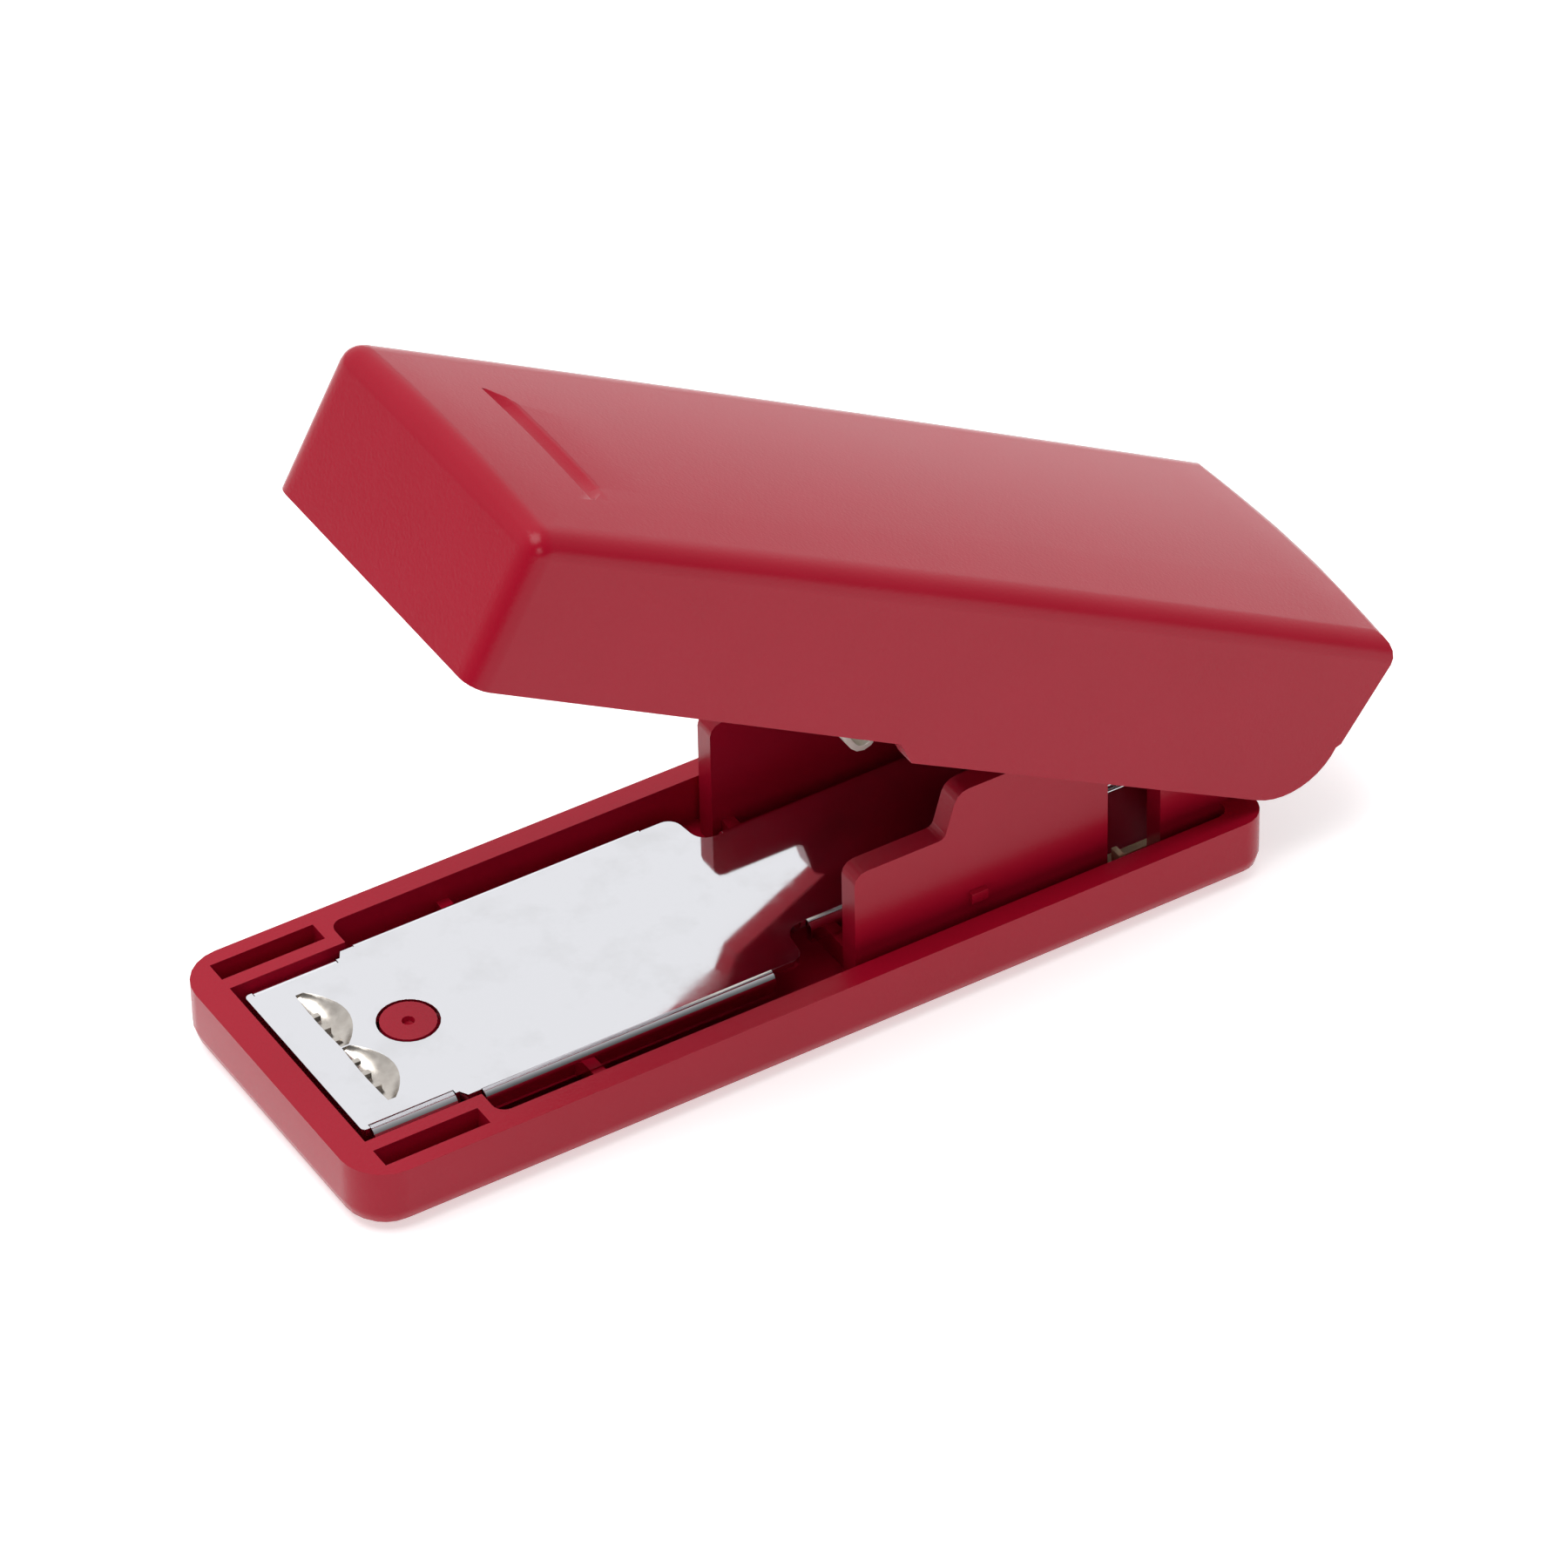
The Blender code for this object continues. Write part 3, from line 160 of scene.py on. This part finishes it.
class Finish:
    """A Principled material built from Python calls."""

    def __init__(self, name, colour, roughness, metallic=0.0, gloss=0.5):
        self.material = bpy.data.materials.new(name)
        self.material.use_nodes = True
        self.tree = self.material.node_tree
        self.shader = self.tree.nodes["Principled BSDF"]
        self.set("Base Color", (*colour, 1.0))
        self.set("Roughness", roughness)
        self.set("Metallic", metallic)
        self.set("Specular IOR Level", gloss)
        self.material.diffuse_color = (*colour, 1.0)

    def set(self, name, value):
        feed(self.tree, self.shader.inputs[name], value)

    def node(self, kind, settings=None, output=0, **inputs):
        """A new node's output. An input is named with _ for a space, or by its number after a _."""
        made = self.tree.nodes.new(kind)
        for key, value in (settings or {}).items():
            if key == "stops":
                for stop, (place, shade) in zip(made.color_ramp.elements, value):
                    stop.position = place
                    stop.color = (shade, shade, shade, 1.0)
            else:
                setattr(made, key, value)
        for key, value in inputs.items():
            name = int(key[1:]) if key[1:].isdigit() else key.replace("_", " ")
            feed(self.tree, made.inputs[name], value)
        return Signal(self.tree, made.outputs[output])

    def noise(self, size, detail=2.0, rough=0.5, stretch=(1.0, 1.0, 1.0)):
        """Soft noise whose features are about this many metres across, from 0 to 1."""
        where = self.node("ShaderNodeTexCoord", output=3)
        where = self.node("ShaderNodeMapping", Vector=where, Scale=stretch)
        return self.node(
            "ShaderNodeTexNoise", Vector=where, Scale=1.0 / size, Detail=detail, Roughness=rough
        )

    def ramp(self, value, low, high):
        settings = {"stops": [(low, 0.0), (high, 1.0)]}
        return self.node("ShaderNodeValToRGB", settings, Fac=value)

    def tint(self, amount, first, second):
        settings = {"data_type": "RGBA"}
        ends = {"_6": (*first, 1.0), "_7": (*second, 1.0)}
        return self.node("ShaderNodeMix", settings, output=2, Factor=amount, **ends)

    def bump(self, height, distance, strength=1.0):
        made = self.node("ShaderNodeBump", Height=height, Distance=distance, Strength=strength)
        self.set("Normal", made)


def crimson_plastic():
    finish = Finish("crimson plastic", (0.34, 0.003, 0.018), 0.25, gloss=0.22)
    cloud = finish.noise(6 * MM, 3.0)
    tint = finish.tint(cloud, (0.325, 0.0025, 0.016), (0.355, 0.0035, 0.021))
    finish.set("Base Color", tint)
    grain = finish.noise(0.2 * MM, 2.0, 0.6)
    finish.set("Roughness", 0.19 + cloud * 0.05 + grain * 0.06)
    finish.bump(grain, 0.02 * MM, 0.5)
    return finish.material


def chrome_plate():
    finish = Finish("chrome plate", (0.72, 0.72, 0.74), 0.07, 1.0)
    smudge = finish.noise(4 * MM, 4.0, 0.6)
    patches = finish.ramp(smudge, 0.5, 0.8)
    finish.set("Base Color", finish.tint(patches, (0.73, 0.73, 0.755), (0.66, 0.66, 0.675)))
    streak = finish.noise(1.2 * MM, 2.0, 0.5, (0.25, 3.0, 1.0))
    finish.set("Roughness", 0.035 + patches * 0.08 + streak * 0.03)
    finish.bump(finish.noise(9 * MM, 2.0), 0.03 * MM, 0.35)
    return finish.material


def pressed_steel():
    """Duller steel inside the pocket, where the sheet was pressed."""
    finish = Finish("pressed steel", (0.5, 0.46, 0.42), 0.22, 1.0)
    cloud = finish.noise(0.5 * MM, 3.0)
    finish.set("Base Color", finish.tint(cloud, (0.40, 0.36, 0.32), (0.62, 0.58, 0.53)))
    finish.set("Roughness", 0.16 + cloud * 0.14)
    return finish.material


def zinc_steel():
    finish = Finish("zinc steel", (0.60, 0.61, 0.63), 0.3, 1.0)
    cloud = finish.noise(3 * MM, 3.0)
    lines = finish.noise(0.35 * MM, 2.0, 0.5, (0.06, 1.0, 1.0))
    finish.set("Base Color", finish.tint(cloud, (0.56, 0.57, 0.59), (0.66, 0.66, 0.67)))
    finish.set("Roughness", 0.2 + cloud * 0.12 + lines * 0.12)
    finish.bump(lines, 0.008 * MM, 0.4)
    return finish.material


def spring_steel():
    finish = Finish("spring steel", (0.60, 0.60, 0.61), 0.2, 1.0)
    draw = finish.noise(0.2 * MM, 3.0)
    finish.set("Base Color", finish.tint(draw, (0.52, 0.52, 0.53), (0.68, 0.68, 0.69)))
    finish.set("Roughness", 0.14 + draw * 0.16)
    return finish.material


def nickel_strip():
    finish = Finish("nickel plated strip", (0.9, 0.86, 0.76), 0.3, 0.5)
    cloud = finish.noise(0.7 * MM, 3.0)
    finish.set("Base Color", finish.tint(cloud, (0.88, 0.83, 0.72), (0.98, 0.95, 0.88)))
    finish.set("Roughness", 0.24 + cloud * 0.2)
    return finish.material


def pale_brass():
    finish = Finish("pale brass", (0.88, 0.72, 0.42), 0.3, 0.8)
    cloud = finish.noise(0.8 * MM, 3.0)
    finish.set("Base Color", finish.tint(cloud, (0.84, 0.66, 0.38), (0.95, 0.82, 0.56)))
    finish.set("Roughness", 0.22 + cloud * 0.2)
    return finish.material


def black_plastic():
    finish = Finish("black plastic", (0.02, 0.02, 0.022), 0.45)
    grain = finish.noise(0.2 * MM, 2.0)
    finish.set("Roughness", 0.38 + grain * 0.15)
    finish.bump(grain, 0.01 * MM, 0.4)
    return finish.material


FINISHES = {
    "crimson_plastic": crimson_plastic(),
    "chrome_plate": chrome_plate(),
    "zinc_steel": zinc_steel(),
    "spring_steel": spring_steel(),
    "brass": pale_brass(),
    "black_plastic": black_plastic(),
}
SLOT_OF = {part["node"]: part["material_slot"] for part in frame["record"]["subparts"]}
BODIES = frame["record"]["behaviour"]["bodies"]
BODY_OF = {node: body for body, nodes in BODIES.items() for node in nodes}


# ---------------------------------------------------------------- modelling


def only(piece):
    """Selects one object alone and makes it active."""
    bpy.ops.object.select_all(action="DESELECT")
    piece.select_set(True)
    bpy.context.view_layer.objects.active = piece


def smoothed(piece):
    """Smooth shading that keeps the large faces flat and the corners crisp."""
    bpy.ops.mesh.customdata_custom_splitnormals_clear()
    bpy.ops.object.shade_smooth_by_angle(angle=SMOOTH_ANGLE)
    weighted = piece.modifiers.new("weighted", "WEIGHTED_NORMAL")
    weighted.keep_sharp = True
    weighted.weight = LARGE_FACE_WEIGHT
    bpy.ops.object.modifier_apply(modifier=weighted.name)


def refined(node, width, segments=3, finish=None):
    """A copy of a frame piece with its sharp edges rounded over a small width."""
    source = frame["nodes"][node]
    piece = source.copy()
    piece.data = source.data.copy()
    piece.name = f"{node}_fine"
    bpy.context.scene.collection.objects.link(piece)
    place = source.matrix_world.copy()
    piece.parent = None
    piece.matrix_world = place
    only(piece)
    bpy.ops.object.mode_set(mode="EDIT")
    bpy.ops.mesh.select_all(action="SELECT")
    bpy.ops.mesh.remove_doubles(threshold=WELD_METRES)
    bpy.ops.mesh.dissolve_limited(angle_limit=FLAT_ANGLE)
    bpy.ops.object.mode_set(mode="OBJECT")
    bevel = piece.modifiers.new("rounding", "BEVEL")
    bevel.width = width * MM
    bevel.segments = segments
    bevel.limit_method = "ANGLE"
    bevel.angle_limit = EDGE_ANGLE
    bpy.ops.object.modifier_apply(modifier=bevel.name)
    smoothed(piece)
    piece.data.materials.clear()
    piece.data.materials.append(finish or FINISHES[SLOT_OF[node]])
    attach(piece, BODY_OF[node])
    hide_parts(node)
    return piece


def carried(node):
    """Gives a frame piece its finish and leaves its shape alone."""
    piece = frame["nodes"][node]
    piece.data.materials.clear()
    piece.data.materials.append(FINISHES[SLOT_OF[node]])


def pocket_finished(plate):
    """Gives the faces inside the plate's pocket their own finish."""
    plate.data.materials.append(pressed_steel())
    for face in plate.data.polygons:
        x, y, z = (value / MM for value in face.center)
        inside = POCKET_FRONT < x < POCKET_REAR and abs(y) < POCKET_HALF
        if inside and PLATE_LEVEL - POCKET_DEEPEST < z < PLATE_LEVEL - POCKET_SHALLOWEST:
            face.material_index = 1


def crowned(cover):
    """Lifts the middle of the cover's top into a low crown."""
    up = Vector((math.sin(COVER_TILT), 0.0, math.cos(COVER_TILT)))
    along = Vector((math.cos(COVER_TILT), 0.0, -math.sin(COVER_TILT)))
    only(cover)
    bpy.ops.object.mode_set(mode="EDIT")
    for i in range(1, CROWN_STRIPS_ACROSS):
        y = COVER_TOP_HALF * (2 * i / CROWN_STRIPS_ACROSS - 1) * MM
        bpy.ops.mesh.select_all(action="SELECT")
        bpy.ops.mesh.bisect(plane_co=(0, y, 0), plane_no=(0, 1, 0))
    for i in range(1, CROWN_STRIPS_ALONG):
        place = (i / CROWN_STRIPS_ALONG * COVER_LENGTH) - COVER_LENGTH + COVER_BEHIND_PIN
        bpy.ops.mesh.select_all(action="SELECT")
        bpy.ops.mesh.bisect(plane_co=PIN + along * place * MM, plane_no=along)
    bpy.ops.object.mode_set(mode="OBJECT")
    for vert in cover.data.vertices:
        spot = (vert.co - PIN) / MM
        under_top = spot.dot(up) - COVER_TOP_OVER_PIN
        share = min(max((under_top + CROWN_SHOULDER) / CROWN_SHOULDER, 0.0), 1.0)
        across = min(abs(spot.y) / COVER_TOP_HALF, 1.0)
        run = 2 * (spot.dot(along) - COVER_BEHIND_PIN) / COVER_LENGTH + 1
        lift = CROWN_ACROSS * (1 - across**2) + CROWN_ALONG * (1 - min(run * run, 1.0))
        if share > 0.0:
            vert.co += up * share * lift * MM
    smoothed(cover)


def wire(node, points, diameter):
    """Round wire along a line of points, with smooth sides and closed ends."""
    curve = bpy.data.curves.new(f"{node}_fine", "CURVE")
    curve.dimensions = "3D"
    curve.bevel_depth = diameter / 2 * MM
    curve.bevel_resolution = 3
    curve.use_fill_caps = True
    spline = curve.splines.new("POLY")
    spline.points.add(len(points) - 1)
    for target, point in zip(spline.points, points):
        target.co = (*(Vector(point) * MM), 1.0)
    piece = bpy.data.objects.new(f"{node}_fine", curve)
    bpy.context.scene.collection.objects.link(piece)
    only(piece)
    bpy.ops.object.convert(target="MESH")
    bpy.ops.object.shade_smooth_by_angle(angle=WIRE_SMOOTH_ANGLE)
    piece = bpy.context.object
    piece.data.materials.clear()
    piece.data.materials.append(FINISHES[SLOT_OF[node]])
    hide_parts(node)
    return piece


def on_magazine(forward, y, up):
    """A point of the magazine at rest, from a place in front of the pin and above it."""
    x = PIN.x / MM - forward * math.cos(MAGAZINE_TILT) + up * math.sin(MAGAZINE_TILT)
    z = PIN.z / MM + forward * math.sin(MAGAZINE_TILT) + up * math.cos(MAGAZINE_TILT)
    return x, y, z


def pusher_spring():
    """Long coil round the guide rod, drawn at one fixed length on the magazine."""
    front, rear, radius, thickness, turns, steps = 32.14, 7.36, 1.1, 0.36, 15, 20
    points = []
    for i in range(turns * steps + 1):
        angle = 2 * math.pi * i / steps
        forward = front + (rear - front) * i / (turns * steps)
        up = ROD_OVER_PIN + radius * math.sin(angle)
        points.append(on_magazine(forward, radius * math.cos(angle), up))
    piece = wire("pusher_spring", points, thickness)
    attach(piece, "magazine")
    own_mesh(piece)


def return_spring():
    """Wire with a foot in the tray, a hairpin, a coil of almost two turns and a magazine leg."""
    thickness, radius, sweep, coil_steps, outer = 0.32, 1.75, 680.0, 68, -6.96
    hairpin_x, hairpin_radius, hairpin_step = 19.7, 0.25, 18
    foot_x, foot_level = 24.9, 2.16
    leg_level, leg_end = -5.1, -3.18
    pitch = thickness * 1.1
    low = PIN.z / MM - radius
    points = [(foot_x, outer, foot_level), (foot_x, outer, low - 1.2)]
    points += [(24.65, outer, low - 0.6), (24.1, outer, low - 0.5)]
    for i in range(180 // hairpin_step + 1):
        angle = math.radians(270 - hairpin_step * i)
        x = hairpin_x + hairpin_radius * math.cos(angle)
        points.append((x, outer, low - hairpin_radius + hairpin_radius * math.sin(angle)))
    for i in range(coil_steps + 1):
        angle = math.radians(-90 + sweep * i / coil_steps)
        y = outer + pitch * sweep / 360 * i / coil_steps
        x = PIN.x / MM + radius * math.cos(angle)
        points.append((x, y, PIN.z / MM + radius * math.sin(angle)))
    inner = points[-1][1]
    points += [on_magazine(4.5, inner, -2.6), on_magazine(8.5, inner, -5.05)]
    points += [on_magazine(9.0, inner + 0.6, leg_level), on_magazine(9.1, leg_end, leg_level)]
    piece = wire("return_spring", points, thickness)
    end = Vector((0, inner - thickness / 2, 0)) * MM
    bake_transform(piece)


# ---------------------------------------------------------------- camera and light


def camera():
    turn, height, roll = CAMERA_AZIMUTH, CAMERA_ELEVATION, CAMERA_ROLL
    flat = math.cos(height)
    back = Vector((math.sin(turn) * flat, -math.cos(turn) * flat, math.sin(height)))
    right = Vector((math.cos(turn), math.sin(turn), 0.0))
    up = back.cross(right)
    across = right * math.cos(roll) + up * math.sin(roll)
    over = up * math.cos(roll) - right * math.sin(roll)
    data = bpy.data.cameras.new("camera")
    data.sensor_width = CAMERA_SENSOR
    data.lens = CAMERA_LENS
    data.clip_start = CAMERA_NEAREST_METRES
    made = bpy.data.objects.new("camera", data)
    bpy.context.scene.collection.objects.link(made)
    spot = back * CAMERA_DISTANCE * MM + across * CAMERA_ACROSS * MM + over * CAMERA_OVER * MM
    facing = Matrix((across, over, back)).transposed().to_4x4()
    made.matrix_world = Matrix.Translation(spot) @ facing
    bpy.context.scene.camera = made


def sky():
    """Light from all round, brighter towards the back and above."""
    world = bpy.data.worlds.new("studio")
    bpy.context.scene.world = world
    world.use_nodes = True
    tree = world.node_tree
    background = tree.nodes["Background"]
    where = tree.nodes.new("ShaderNodeTexCoord")
    split = tree.nodes.new("ShaderNodeSeparateXYZ")
    tree.links.new(where.outputs["Generated"], split.inputs[0])
    x, y, z = (Signal(tree, split.outputs[name]) for name in "XYZ")
    level = x * SKY_SLOPE_X + y * SKY_SLOPE_Y + SKY_MIDDLE
    level = level.join("MAXIMUM", level, SKY_LEAST)
    above = z * SKY_RISE
    above = above.join("MINIMUM", above.join("MAXIMUM", above, 0.0), 1.0)
    level = level * (above * SKY_GAIN_ABOVE + SKY_AT_HORIZON)
    tree.links.new(level.socket, background.inputs["Strength"])
    background.inputs["Color"].default_value = SKY_COLOUR


def ground():
    """A sheet of paper under everything, which glows a little."""
    bpy.ops.object.select_all(action="DESELECT")
    bpy.ops.mesh.primitive_plane_add(size=FLOOR_METRES, location=(0, 0, 0))
    floor = bpy.context.object
    floor.name = "floor"
    paper = Finish("paper", (0.76, 0.76, 0.76), 0.7)
    cloud = paper.noise(200 * MM)
    paper.set("Base Color", paper.tint(cloud, (0.75, 0.75, 0.75), (0.77, 0.77, 0.77)))
    paper.set("Emission Color", (1.0, 1.0, 1.0, 1.0))
    paper.set("Emission Strength", PAPER_GLOW)
    floor.data.materials.append(paper.material)


def lamps():
    for name, spot, size, power in LAMPS:
        data = bpy.data.lights.new(name, "AREA")
        data.shape = "SQUARE"
        data.size = size
        data.energy = power
        lamp = bpy.data.objects.new(name, data)
        bpy.context.scene.collection.objects.link(lamp)
        lamp.location = spot
        lamp.rotation_euler = (-Vector(spot)).to_track_quat("-Z", "Y").to_euler()


bpy.context.scene.view_settings.view_transform = "Standard"
camera()
sky()
ground()
lamps()

crowned(refined("cover_shell", 0.25))
refined("base_tray", 0.22)
pocket_finished(refined("anvil_plate", 0.1, 4))
for node in ("magazine_channel", "nose_plate", "staple_rail", "handle_frame", "driver_blade"):
    refined(node, 0.1, 2)
refined("rod_block", 0.2)
refined("pusher", 0.15)
refined("staple_strip", 0.08, 2)
refined("spring_anchor", 0.08, 2)
leaf = refined("leaf_spring", 0.06, 2, finish=nickel_strip())
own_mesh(leaf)
pusher_spring()
return_spring()
refined("hinge_pin", 0.12)
for node in ("guide_rod", "leaf_rivet", "driver_rivet_left", "driver_rivet_right"):
    carried(node)
